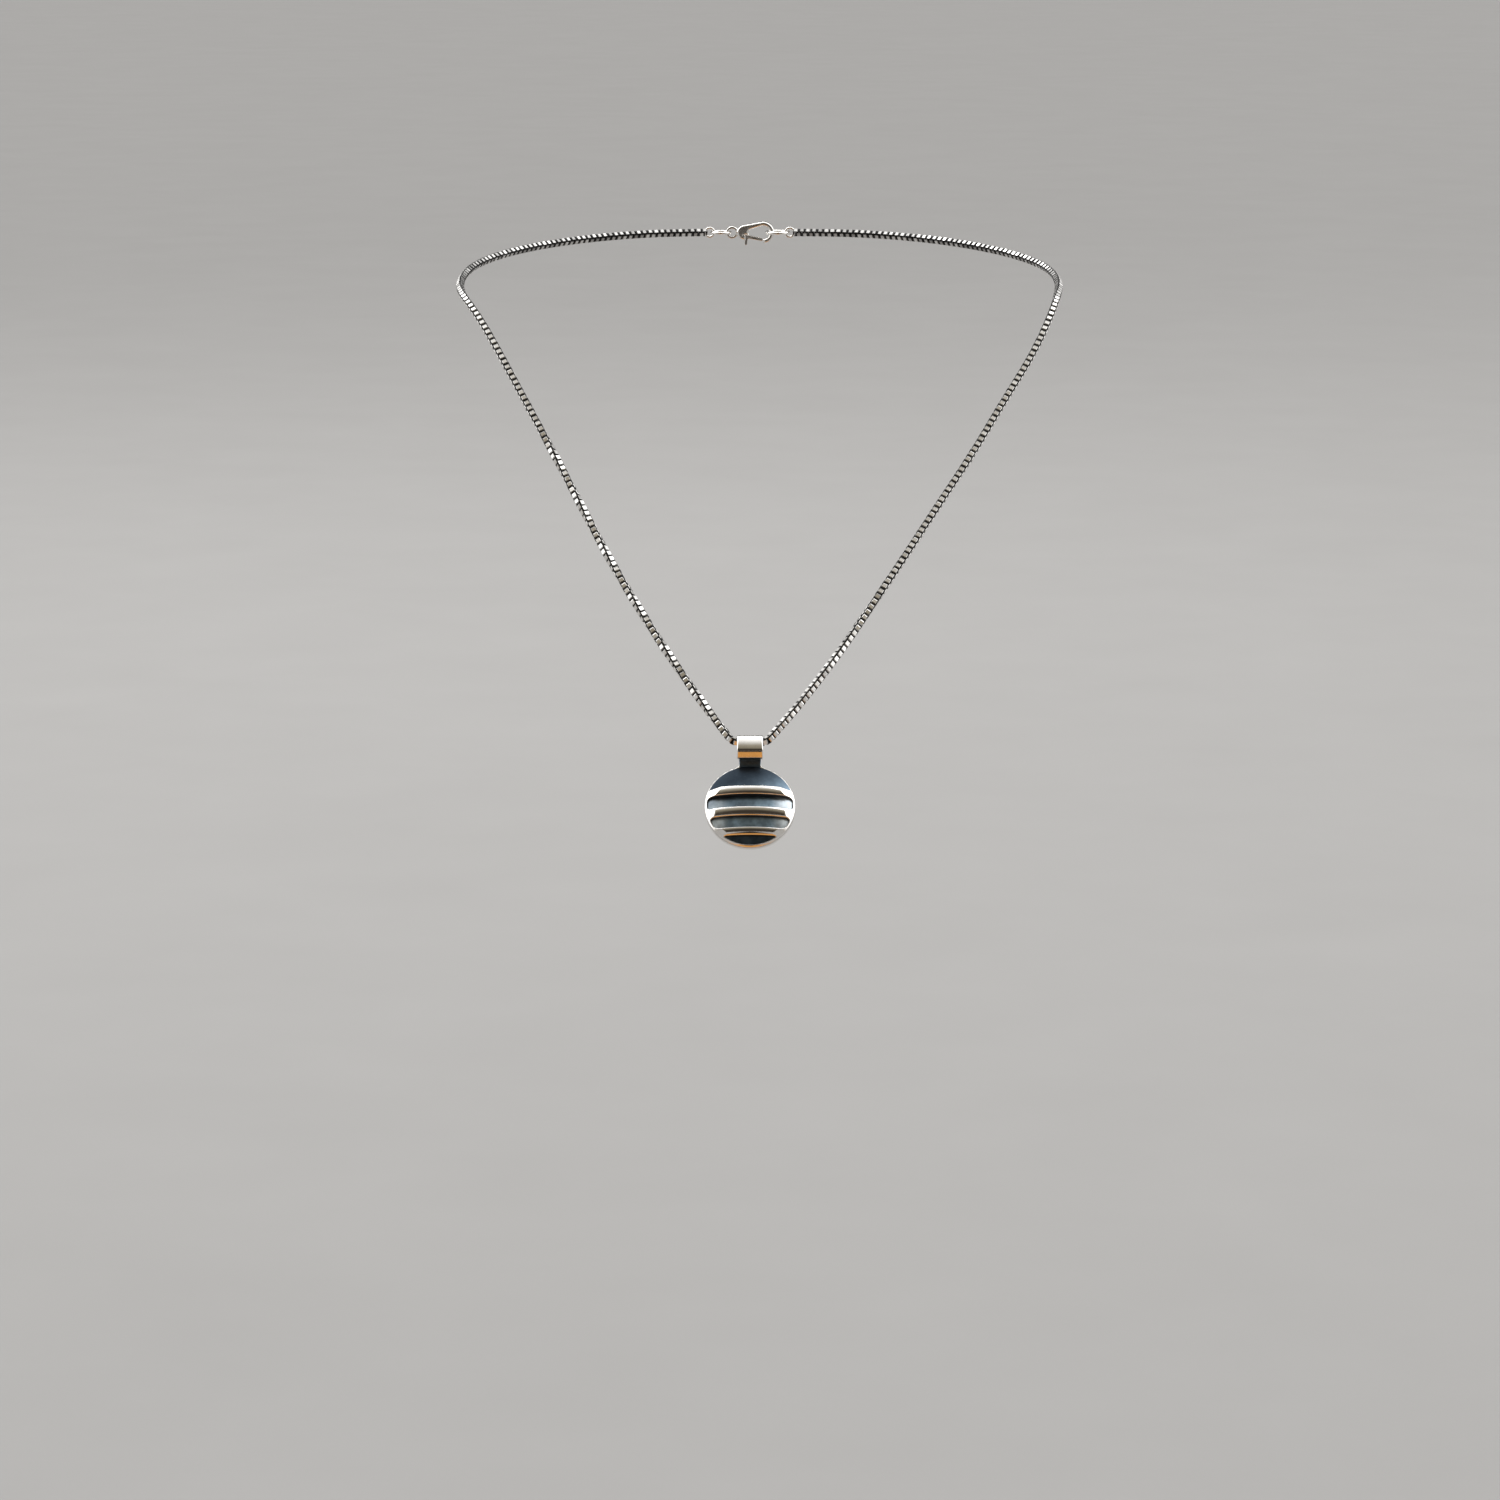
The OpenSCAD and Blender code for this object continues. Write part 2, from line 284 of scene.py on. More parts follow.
def chain_silver():
    """Box-chain links: outer faces rubbed bright, edges and insides left dark with oxide and with painted shade.
    """
    s = Shader("chain_silver")
    polish_and_shade = s.attribute("polish_and_shade")
    speckle = s.noise(5.0, detail=2)
    shine = s.spread(s.math("ADD", polish_and_shade, s.math("MULTIPLY", speckle, 0.2)), 0.35, 0.85)
    s.set(colour=s.mix(shine, CHAIN_DARK, CHAIN_BRIGHT), metallic=1.0)
    s.set(roughness=s.spread(shine, 0.0, 1.0, 0.5, 0.16))
    s.bump((speckle, 0.004))
    return s.material


def spring_steel():
    """Bare spring strip with drawing marks."""
    s = Shader("spring_steel")
    marks = s.noise(4.0, stretch=(0.3, 6, 6))
    s.set(colour=s.mix(marks, STEEL_DARK, STEEL_BRIGHT), metallic=1.0)
    s.set(roughness=s.spread(marks, 0.3, 0.7, 0.25, 0.4))
    s.bump((marks, 0.002))
    return s.material


bright = polished_silver("polished_silver")
clasp_metal = polished_silver("clasp_silver", variation=0.8)
dark = oxidised_silver()
links_metal = chain_silver()
spring_metal = spring_steel()


# ---------------------------------------------------------------- mesh helpers

def make_piece(name, points, faces, material, flat_faces=0, crease=None, normals=None, attributes=None):
    """A mesh object from an array of points, in metres, and lists of corners for its faces.

    The last flat_faces of them are shaded flat, and edges sharper than crease degrees stay sharp."""
    mesh = bpy.data.meshes.new(name)
    mesh.from_pydata(points.tolist(), [], faces)
    mesh.polygons.foreach_set("use_smooth", [i < len(faces) - flat_faces for i in range(len(faces))])
    if crease is not None:
        mesh.set_sharp_from_angle(angle=math.radians(crease))
    for key, (domain, values) in (attributes or {}).items():
        mesh.attributes.new(key, "FLOAT", domain).data.foreach_set("value", values.astype(np.float32))
    if normals is not None:
        mesh.normals_split_custom_set_from_vertices(normals.tolist())
    mesh.materials.append(material)
    mesh.update()
    return add_object(name, mesh)


def all_open(points):
    """The "open" attribute of a piece with no tight corners."""
    return {"open": ("POINT", np.ones(len(points)))}


def surface_net(field, low, high, step):
    """Quads over the zero level of a field that is negative inside: points and outward faces."""
    axes = [np.arange(low[i], high[i] + step, step) for i in range(3)]
    shape = tuple(len(a) for a in axes)
    value = field(np.stack(np.meshgrid(*axes, indexing="ij"), -1).reshape(-1, 3)).reshape(shape)
    inside = value < 0
    corners = [(i, j, k) for i in (0, 1) for j in (0, 1) for k in (0, 1)]
    cell_shape = [n - 1 for n in shape]
    count = sum(inside[i:i + cell_shape[0], j:j + cell_shape[1], k:k + cell_shape[2]].astype(int)
                for i, j, k in corners)
    active = (count > 0) & (count < 8)
    cells = np.argwhere(active)
    index = np.full(active.shape, -1)
    index[active] = np.arange(len(cells))
    total, hits = np.zeros((len(cells), 3)), np.zeros((len(cells), 1))
    for axis in range(3):
        step_along = np.eye(3, dtype=int)[axis]
        for corner in corners:
            if corner[axis]:
                continue
            start = cells + corner
            a = value[tuple(start.T)]
            b = value[tuple((start + step_along).T)]
            crossed = ((a < 0) != (b < 0))[:, None]
            t = (a / np.where(a == b, 1, a - b))[:, None]
            total += crossed * (start + t * step_along)
            hits += crossed
    faces = []
    for axis in range(3):
        along, b, c = np.roll(np.eye(3, dtype=int), -axis, axis=0)
        first = inside[tuple(slice(0, n - along[i]) for i, n in enumerate(shape))]
        second = inside[tuple(slice(along[i], n) for i, n in enumerate(shape))]
        edge = np.argwhere(first != second)
        rim = edge + b + c
        clear = np.all((edge >= b + c) & (rim < np.array(shape)), axis=1)
        edge = edge[clear]
        around = np.stack([index[tuple((edge - back).T)] for back in (b + c, c, 0 * b, b)], axis=1)
        outward_first = inside[tuple(edge.T)]
        faces.append(np.where(outward_first[:, None], around, around[:, ::-1]))
    return np.array(low) + step * total / hits, np.concatenate(faces)


def slope_of(field, points, reach=0.004):
    """The field's gradient at points, by central differences."""
    return np.stack([(field(points + reach * e) - field(points - reach * e)) / (2 * reach)
                     for e in np.eye(3)], axis=1)


def carved(name, field, low, high, step, place, material, around=None, lit_and_rubbed=None, bare=None):
    """A smooth solid from a field in millimetres. place is its (axes, origin) in the row frame.

    The "open" attribute is 0 in tight corners, where oxide stays and the materials paint shade, and 1
    where cloths and skin rub; around is the field of all that lies near, and the argument after around
    lowers it by point and normal. The "bare" attribute is 1 where solder shows through dark oxide."""
    points, faces = surface_net(field, low, high, step)
    settling_rounds, least_steepness = 4, 0.05
    for _ in range(settling_rounds):
        slope = slope_of(field, points)
        steepness = np.maximum((slope ** 2).sum(axis=1, keepdims=True), least_steepness)
        move = field(points)[:, None] * slope / steepness
        points = points - np.clip(move, -step / 2, step / 2)
    slope = slope_of(field, points)
    normals = slope / np.maximum(np.linalg.norm(slope, axis=1, keepdims=True), 1e-9)
    # Openness a little way out along the normal: low in corners, where oxide and painted shade go
    reach = 0.35
    open_space = np.clip((around or field)(points + reach * normals) / reach, 0, 1)
    if lit_and_rubbed:
        open_space = open_space * lit_and_rubbed(points, normals)
    attributes = {"open": ("POINT", open_space)}
    if bare:
        attributes["bare"] = ("POINT", bare(points))
    axes, origin = place
    return make_piece(name, points @ axes.T * MM + origin, faces.tolist(), material,
                      normals=normals @ axes.T, attributes=attributes)


def turned(name, profile, place, material, segments=256):
    """A solid of revolution about Z from (radius, height) pairs in millimetres, axis to axis."""
    angles = np.linspace(0, 2 * math.pi, segments, endpoint=False)
    rings = [np.stack([r * np.cos(angles), r * np.sin(angles), np.full(segments, z)], axis=1)
             for r, z in profile[1:-1]]
    ends = [np.array([[0, 0, profile[0][1]]]), np.array([[0, 0, profile[-1][1]]])]
    points = np.concatenate([ends[0], *rings, ends[1]])
    here = np.arange(segments)
    after = np.roll(here, -1)
    faces = [[0, 1 + b, 1 + a] for a, b in zip(here, after)]
    for ring in range(len(rings) - 1):
        low, high = 1 + ring * segments, 1 + (ring + 1) * segments
        faces += [[low + a, low + b, high + b, high + a] for a, b in zip(here, after)]
    last = 1 + (len(rings) - 1) * segments
    faces += [[last + a, last + b, len(points) - 1] for a, b in zip(here, after)]
    axes, origin = place
    return make_piece(name, points @ axes.T * MM + origin, faces, material,
                      crease=30, attributes=all_open(points))


def stands_for(piece, body, node):
    """The piece replaces a CAD node and rides on its body."""
    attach(piece, body)
    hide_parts(node)
    return piece


# ---------------------------------------------------------------- field helpers

def round_max(a, b, radius):
    """Where two fields meet, an outer edge rounded to a radius."""
    over = np.hypot(np.maximum(a + radius, 0), np.maximum(b + radius, 0))
    return np.minimum(-radius, np.maximum(a, b)) + over


def round_min(a, b, radius):
    """The two fields joined, with a fillet of a radius in the corner between them."""
    under = np.hypot(np.maximum(radius - a, 0), np.maximum(radius - b, 0))
    return np.maximum(radius, np.minimum(a, b)) - under


def fade(value, low, high):
    """0 below low, 1 above high and smooth between, for either order of the two."""
    t = np.clip((value - low) / (high - low), 0, 1)
    return t * t * (3 - 2 * t)


def two_circles(x, y, a, radius_a, b, radius_b):
    """Distance to the outline drawn tightly round two circles."""
    length = math.hypot(b[0] - a[0], b[1] - a[1])
    ux, uy = (b[0] - a[0]) / length, (b[1] - a[1]) / length
    along = (x - a[0]) * ux + (y - a[1]) * uy
    aside = np.abs((y - a[1]) * ux - (x - a[0]) * uy)
    lean = (radius_a - radius_b) / length
    straight = math.sqrt(1 - lean ** 2)
    k = straight * along - lean * aside
    near_a = np.hypot(aside, along) - radius_a
    near_b = np.hypot(aside, along - length) - radius_b
    between = straight * aside + lean * along - radius_a
    return np.where(k < 0, near_a, np.where(k > straight * length, near_b, between))


def box_outline(x, y, low, high):
    """Distance-like field of a rectangle between two corners."""
    return np.maximum(np.maximum(low[0] - x, x - high[0]), np.maximum(low[1] - y, y - high[1]))


# ---------------------------------------------------------------- pendant

pendant_place = (pendant_axes, hang)

DISC_R = 9.0
PLATE_T = 0.9
BAIL_W, BAIL_H, BAIL_D, BAIL_T, BAIL_TOP = 5.2, 5.4, 4.2, 0.58, 1.8
DISC_CENTRE = pendant_axes.T @ (np.array(mounts["pendant_back"]["pos_m"]) - hang) / MM
DISC_CENTRE[2] += PLATE_T
DOME_R, DOME_EDGE, DOME_RISE = 8.85, 0.15, 1.7
DOME_SPHERE = (DOME_R ** 2 + (DOME_RISE - DOME_EDGE) ** 2) / (2 * (DOME_RISE - DOME_EDGE))
GRILLE_RISE, CROWN_V, CROWN_R, RIM_EDGE_H, RIM_W = 3.2, 1.7, 25, 0.35, 0.45
BEVEL_SLOPE = math.tan(math.radians(42))
CORNER_R = [0.75, 0.75, 0.3]
BAR_W = [1.8, 1.8, 1.5]
BAR_MIDDLE = [2.45, -2.05, -6.0]
BAR_UPPER = [middle + width / 2 for middle, width in zip(BAR_MIDDLE, BAR_W)]
BAR_LOWER = [middle - width / 2 for middle, width in zip(BAR_MIDDLE, BAR_W)]
BAR_CROWN, BAR_LEAN = 0.2, 0.08
CREST_ROUND, BAR_ROUND, RIM_ROUND = 0.06, 0.18, 0.12
OUTER_EDGE = 0.2
# How far a part is sunk into the one that it is soldered to
SOLDERED = 0.02
disc_place = (pendant_axes, hang + pendant_axes @ DISC_CENTRE * MM)


def dome_height(r):
    """Top of the dark dome above the back plate's front."""
    arc = DOME_RISE - DOME_SPHERE + np.sqrt(np.maximum(DOME_SPHERE ** 2 - r ** 2, 0))
    return np.where(r < DOME_R, arc, 0.0)


def grille_field(p):
    """The polished overlay in the disc's frame: crowned bars inside a bevelled rim."""
    x, v, z = p.T
    r = np.hypot(x, v)
    crown = GRILLE_RISE - CROWN_R + np.sqrt(CROWN_R ** 2 - x ** 2 - (v - CROWN_V) ** 2)
    off_bar = np.stack([(v - middle) / (width / 2) for middle, width in zip(BAR_MIDDLE, BAR_W)])
    off_bar = np.clip(np.take_along_axis(off_bar, np.abs(off_bar).argmin(axis=0)[None], 0)[0], -1, 1)
    crown = crown - BAR_CROWN * off_bar ** 2 + BAR_LEAN * off_bar
    bevel = RIM_EDGE_H + (DISC_R - r) * BEVEL_SLOPE
    upper = round_max(z - crown, (z - bevel) / math.hypot(1, BEVEL_SLOPE), CREST_ROUND)
    outline = v - BAR_UPPER[0]
    inner_rim = r - (DISC_R - RIM_W)
    gaps = [(BAR_UPPER[1], BAR_LOWER[0]), (BAR_UPPER[2], BAR_LOWER[1]), (-DISC_R, BAR_LOWER[2])]
    for (low, high), corner in zip(gaps, CORNER_R):
        window = round_max(np.maximum(v - high, low - v), inner_rim, corner)
        outline = np.maximum(outline, -window)
    body = round_max(upper, outline, BAR_ROUND)
    body = round_max(body, r - DISC_R, RIM_ROUND)
    return np.maximum(body, dome_height(r) - SOLDERED - z)


def grille_lit_and_rubbed(points, normals):
    """The windows' upright walls are left black, as oxide and as painted shade; only the fronts and the outer edge
    are polished.
    """
    in_windows = np.hypot(points[:, 0], points[:, 1]) < DISC_R - OUTER_EDGE
    upright_wall = fade(normals[:, 2], 0.45, 0.12) * in_windows
    return 1 - upright_wall


def dome_field(p):
    """The dark dome as a solid, used to see how deep a place lies."""
    r = np.hypot(p[:, 0], p[:, 1])
    return np.maximum(p[:, 2] - dome_height(r), -PLATE_T - p[:, 2])


# How gently the bail's band bends, as a radius in millimetres, where it faces each way. Seen along
# the chain, 0 degrees faces straight out of the pendant and 90 faces up it.
BAIL_FACING = [-180, -135, -100, -88, -56, -52, -47, -43, -12, -5, 5, 14, 90, 100, 140, 180]
BAIL_BEND = [2.7, 2.3, 2.2, 0.3, 0.3, 7, 7, 1.25, 1.25, 5.2, 6.2, 2.4, 2.2, 1.3, 1.4, 2.7]
BAIL_ROUND = 0.26


def bail_curve():
    """The band's middle line seen along the chain: its facing, height and depth, three turns long."""
    facing = np.radians(np.arange(-180, 180.25, 0.25))
    bend = np.interp(np.degrees(facing), BAIL_FACING, BAIL_BEND)
    # Taking these two waves out of the bends makes the line close
    for wave in (np.cos(facing), np.sin(facing)):
        bend = bend - wave * (bend * wave)[1:].sum() / (wave ** 2)[1:].sum()
    step = facing[1] - facing[0]
    y, z = np.cumsum(np.cos(facing) * bend) * step, np.cumsum(-np.sin(facing) * bend) * step
    y, z = y + BAIL_TOP - BAIL_T / 2 - y.max(), z - (z.max() + z.min()) / 2
    full = 2 * math.pi
    return [np.concatenate([a[:-1] - turn, a, a[1:] + turn]) for a, turn in ((facing, full), (y, 0), (z, 0))]


BAIL_CURVE = bail_curve()


def bail_field(p):
    """The bail in the pendant's frame: a band bent round the curve, with rounded edges."""
    x, y, z = p.T
    facings, line_y, line_z = BAIL_CURVE
    facing = np.arctan2(y - (BAIL_TOP - BAIL_H / 2), z)
    # Halving steps find the facing of the line's nearest place
    for turn in math.radians(45) / 2 ** np.arange(15):
        dy, dz = y - np.interp(facing, facings, line_y), z - np.interp(facing, facings, line_z)
        facing = facing + turn * np.sign(dy * np.cos(facing) - dz * np.sin(facing))
    dy, dz = y - np.interp(facing, facings, line_y), z - np.interp(facing, facings, line_z)
    off = dz * np.cos(facing) + dy * np.sin(facing)
    return round_max(np.abs(off) - BAIL_T / 2, np.abs(x) - BAIL_W / 2, BAIL_ROUND)


TAB_W, TAB_T, TAB_ROUND = 4.3, 0.8, 0.12
TAB_BACK = 0.3 - BAIL_D / 2
# Heights of the strip's top and of the solder's top, and how far solder may spread at each side
STRIP_TOP, SOLDER_TOP, SOLDER_ASIDE = -2.6, -2.0, 0.7
DISC_FILLET, BAIL_FILLET = 0.55, 0.3


def tab_field(p):
    """The tab from bail to disc, with solder run into its corners."""
    x, y, z = p.T
    from_centre = np.hypot(x, y - DISC_CENTRE[1])
    strip = np.maximum(np.abs(x) - TAB_W / 2, np.maximum(y - STRIP_TOP, DISC_CENTRE[1] + DISC_R - 1 - y))
    outline = round_min(strip, from_centre - DISC_R, DISC_FILLET)
    slab = np.abs(z - TAB_BACK - TAB_T / 2) - TAB_T / 2
    body = round_max(outline, slab, TAB_ROUND)
    bail = bail_field(p)
    solder = round_min(body, bail, BAIL_FILLET)
    disc = np.maximum(from_centre - (DISC_R - SOLDERED), z - DISC_CENTRE[2])
    dome = from_centre - DOME_R + 0.05
    aside = np.abs(x) - TAB_W / 2 - SOLDER_ASIDE
    return np.max([solder, -bail, -disc, -dome, y - SOLDER_TOP, aside], axis=0)


def bare_solder(points):
    """Where the solder beside the tab's foot is rubbed bright."""
    return fade(np.abs(points[:, 0]), 1.95, 2.3) * fade(points[:, 1], -3.9, -4.3)


def make_pendant():
    """The back plate, dome, grille, bail and the tab that joins bail and disc."""
    edge = 0.09
    bevel = [(DISC_R - edge * (1 - math.sin(a)), edge * (1 - math.cos(a)))
             for a in np.radians([0, 30, 60, 90])]
    profile = [(0, -PLATE_T), *[(r, z - PLATE_T) for r, z in bevel],
               *[(r, -z) for r, z in reversed(bevel)], (DOME_R - 0.3, 0), (0, 0)]
    stands_for(turned("back_plate_disc", profile, disc_place, bright),
               "pendant", "back_plate")

    radii = np.linspace(DOME_R, 0, 40)[1:-1]
    profile = [(0, -SOLDERED), (DOME_R, -SOLDERED), (DOME_R, DOME_EDGE - 0.05), (DOME_R - 0.05, DOME_EDGE),
               *[(r, float(dome_height(r))) for r in radii], (0, DOME_RISE)]
    stands_for(turned("dome_shell", profile, disc_place, dark), "pendant", "dome")

    margin = 0.15
    reach = DISC_R + margin
    grille = carved("grille_overlay", grille_field, (-reach, -reach, -margin),
                    (reach, BAR_UPPER[0] + margin, GRILLE_RISE + 0.2), 0.075, disc_place, bright,
                    around=lambda p: np.minimum(grille_field(p), dome_field(p)), lit_and_rubbed=grille_lit_and_rubbed)
    stands_for(grille, "pendant", "grille")

    bail = carved("bail_band", bail_field, (-2.8, -3.8, -2.3), (2.8, 2.0, 2.3), 0.06,
                  pendant_place, bright, around=lambda p: np.minimum(bail_field(p), tab_field(p)))
    stands_for(bail, "pendant", "bail")

    tab = carved("bail_tab_plate", tab_field, (-3.1, -5.6, -2.1), (3.1, -1.9, 0.2), 0.05,
                 pendant_place, dark, bare=bare_solder)
    stands_for(tab, "pendant", "bail_tab")


# ---------------------------------------------------------------- chain

CHAIN_W = 1.5
STRIP_W = 0.94
STRIP_T = 0.27
LINK_L = 1.23
LINK_PITCH = LINK_L - 2 * STRIP_T
STRIP_BEVEL = 0.05
LEAST_RUBBED = 0.55

# The chain's route, in metres: on each side from the clasp, over the shoulder, to the bail
left_route = MM * np.array([
    [-10, 49, 6], [-22, 47.5, 6], [-37, 40, 5.5], [-50, 28, 4.5], [-58, 17, 3], [-61, 9, 1.5],
    [-62, 0, 0],
    [-61, -9, -1.5], [-57.5, -15.5, -4.5], [-52.5, -22, -12], [-47, -29, -21], [-41, -36.5, -30.5],
    [-35, -44, -40.5], [-29, -52, -50.5], [-22.5, -59.5, -60], [-15.5, -66.5, -69.5],
    [-9, -72.5, -77.5], [-5.5, -76, -81.5], [-3.6, -77.5, -83.3],
])
right_route = MM * np.array([
    [10, 49, 6], [24, 48, 6], [40, 40, 5.5], [53, 28, 4.5], [61.5, 17, 3], [65, 9, 1.5],
    [66, 0, 0],
    [65, -9, -1.5], [63.5, -15.5, -4.5], [59, -22.5, -13], [53, -29, -21], [46, -37, -31.5],
    [39, -44, -40.5], [32, -51.5, -50], [25, -58.5, -59], [17.5, -66, -68.5],
    [10, -72.5, -77], [5.5, -76, -81.5], [3.6, -77.5, -83.3],
])


def on_route(route, s):
    """The smooth curve near a route's points; s counts the points and may lie between them."""
    padded = np.concatenate([[2 * route[0] - route[1]], route, [2 * route[-1] - route[-2]],
                             [3 * route[-1] - 2 * route[-2]]])
    i = np.minimum(np.floor(s).astype(int), len(route) - 2)
    t = (s - i)[:, None]
    return ((1 - t) ** 3 * padded[i] + (3 * t ** 3 - 6 * t ** 2 + 4) * padded[i + 1]
            + (1 + 3 * t + 3 * t ** 2 - 3 * t ** 3) * padded[i + 2] + t ** 3 * padded[i + 3]) / 6


def lengths_along(path):
    """Distance from the path's start to each of its points."""
    return np.concatenate([[0], np.cumsum(np.linalg.norm(np.diff(path, axis=0), axis=1))])


def resampled(path, distances):
    """Points of a path at given distances from its start."""
    travelled = lengths_along(path)
    return np.stack([np.interp(distances, travelled, path[:, i]) for i in range(3)], axis=1)


def whole_path():
    """The chain's centreline from clasp to clasp, with the span that lies in the bail."""
    steps = np.linspace(0, len(left_route) - 1, 1200)
    left, right = on_route(left_route, steps), on_route(right_route, steps)
    lift = 0.35 * MM
    span = np.array([hang + x * MM * across + lift * upward for x in (-2.2, -1, 0, 1, 2.2)])
    rough = np.concatenate([left, span, right[::-1]])
    even = resampled(rough, np.arange(0, lengths_along(rough)[-1], 0.1 * MM))
    window = np.hanning(17)
    window /= window.sum()
    half = len(window) // 2
    padded = np.concatenate([2 * even[0] - even[half:0:-1], even, 2 * even[-1] - even[-2:-half - 2:-1]])
    return np.stack([np.convolve(padded[:, i], window, "valid") for i in range(3)], axis=1)


def skin_normal(points):
    """Which way is out from the skin: off the chest in front, off the neck behind."""
    neck_shape, neck_flare = np.array([0.6, 0.8, 0]), np.array([0, 0, 0.03])
    round_neck = points * neck_shape + neck_flare
    round_neck /= np.linalg.norm(round_neck, axis=1, keepdims=True)
    front = fade(points[:, 1], 0.005, -0.02)[:, None]
    return front * outward + (1 - front) * round_neck


def link_template():
    """One link: a flat strip bent into a square loop. Points as (along, across, through)."""
    half_l, half_w = (LINK_L - STRIP_T) / 2, (CHAIN_W - STRIP_T) / 2
    bend = 0.15
    corners = [(half_l - bend, half_w - bend, 0), (bend - half_l, half_w - bend, 90),
               (bend - half_l, bend - half_w, 180), (half_l - bend, bend - half_w, 270)]
    loop = []
    for x, y, start in corners:
        for turn in (0, 45, 90):
            a = math.radians(start + turn)
            loop.append(((x + bend * math.cos(a), y + bend * math.sin(a)), (math.cos(a), math.sin(a))))
    t, w, e = STRIP_T / 2, STRIP_W / 2, STRIP_BEVEL
    section = [(t, w - e), (t, e - w), (t - e, -w), (e - t, -w),
               (-t, e - w), (-t, w - e), (e - t, w), (t - e, w)]
    points = [(cx + nx * u, cy + ny * u, z) for (cx, cy), (nx, ny) in loop for u, z in section]
    # Across the strip: the outer face is bright, the edges and inner face dark with oxide and painted shade
    shine = [1.0, 0.75, 0.3, 0.1, 0.0, 0.1, 0.3, 0.75]
    # Round the loop from one corner: the sides are rubbed bright; the bends and ends, pressed against the next
    # links, are darkened with oxide and with painted shade
    lightness = [0.1, 0.6, 1.0, 0.6, 0.1, 0.0] * 2
    sides = len(section)
    faces, polish_and_shade = [], []
    for i in range(len(loop)):
        for k in range(sides):
            n, m = (i + 1) % len(loop), (k + 1) % sides
            faces.append([i * sides + m, i * sides + k, n * sides + k, n * sides + m])
            polish_and_shade.append(shine[k] * lightness[i])
    return np.array(points), np.array(faces), np.array(polish_and_shade)


def chain_roll(distance, side, shoulder_at, bail_at):
    """How far the chain has twisted about its own line, in radians."""
    quarter_turn_length = 0.0126
    if side == "left":
        start = shoulder_at + 0.0488
        return np.clip(distance - start, 0, bail_at - start) * math.radians(90) / quarter_turn_length
    return math.radians(45) * fade(distance, bail_at - 0.047, bail_at - 0.028)


path = whole_path()
travelled = lengths_along(path)
total_length = travelled[-1]
# The end links sit with their holes round the end rings' wires
END_OVERLAP = 0.15 * MM
link_count = round((total_length - 2 * END_OVERLAP) / (LINK_PITCH * MM)) + 1
link_at = np.linspace(END_OVERLAP, total_length - END_OVERLAP, link_count)
bail_at = travelled[np.argmin(np.linalg.norm(path - hang, axis=1))]
left_shoulder_at = travelled[np.argmin(np.abs(path[:len(path) // 2, 1]))]
right_shoulder_at = travelled[len(path) // 2 + np.argmin(np.abs(path[len(path) // 2:, 1]))]


def link_frames():
    """Each link's centre and its (along, across, through) axes, turned a quarter from link to link."""
    centres = resampled(path, link_at)
    half_hole = 0.3 * MM
    along = resampled(path, link_at + half_hole) - resampled(path, link_at - half_hole)
    along[0], along[-1] = along[1], along[-2]
    along /= np.linalg.norm(along, axis=1, keepdims=True)
    facing = skin_normal(centres)
    facing -= (facing * along).sum(axis=1, keepdims=True) * along
    facing /= np.linalg.norm(facing, axis=1, keepdims=True)
    aside = np.cross(along, facing)
    left_roll = chain_roll(link_at, "left", left_shoulder_at, bail_at)
    right_roll = chain_roll(total_length - link_at, "right",
                            total_length - right_shoulder_at, total_length - bail_at)
    near_bail = fade(link_at, bail_at - 0.004, bail_at + 0.004)
    roll = (1 - near_bail) * left_roll + near_bail * (math.radians(540) + right_roll)
    roll = np.where(np.arange(link_count) % 2 == 0, roll, roll + math.pi / 2)[:, None]
    through = np.cos(roll) * facing + np.sin(roll) * aside
    across_link = np.cross(through, along)
    return centres, np.stack([along, across_link, through], axis=2)


link_centres, link_axes = link_frames()
link_facing = skin_normal(link_centres)
template_points, template_faces, template_polish_and_shade = link_template()
template_corners = template_points[template_faces]
template_normals = np.cross(template_corners[:, 3] - template_corners[:, 1],
                            template_corners[:, 2] - template_corners[:, 0])
template_normals /= np.linalg.norm(template_normals, axis=1, keepdims=True)
link_luck = np.random.default_rng(7)
link_wear = link_luck.uniform(-0.12, 0.06, link_count)
link_tilt = link_luck.normal(0, math.radians(1.2), (link_count, 3))


def chain_piece(name, low, high):
    """The links whose centres lie between two distances along the chain, as one mesh.

    Cloth rubs the faces turned out and down; those turned up or to the skin keep more oxide."""
    chosen = np.flatnonzero((link_at >= low) & (link_at < high))
    points, polish_and_shade = [], []
    for i in chosen:
        wobble = np.eye(3) + np.cross(np.eye(3), link_tilt[i])
        turned_axes = link_axes[i] @ wobble
        points.append(template_points @ turned_axes.T * MM + link_centres[i])
        normals = template_normals @ turned_axes.T
        towards_cloth = normals @ link_facing[i] - 0.9 * normals[:, 2]
        lightness = LEAST_RUBBED + (1 - LEAST_RUBBED) * fade(towards_cloth, 0.05, 0.35)
        polish_and_shade.append(np.clip(template_polish_and_shade * lightness + link_wear[i] * (template_polish_and_shade > 0.5), 0, 1))
    faces = np.concatenate([template_faces + i * len(template_points) for i in range(len(chosen))])
    return make_piece(name, np.concatenate(points), faces.tolist(), links_metal, flat_faces=len(faces),
                      attributes={"polish_and_shade": ("FACE", np.concatenate(polish_and_shade))})


def declare_chain(node, low, high, from_end):
    """Hides a stretch of chain's CAD node; its points, taken from the end nearer the clasp, are worked out but not
    used.
    """
    distances = np.linspace(low, high, 60)
    points = resampled(path, distances)
    if from_end:
        points = points[::-1]
    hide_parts(node)


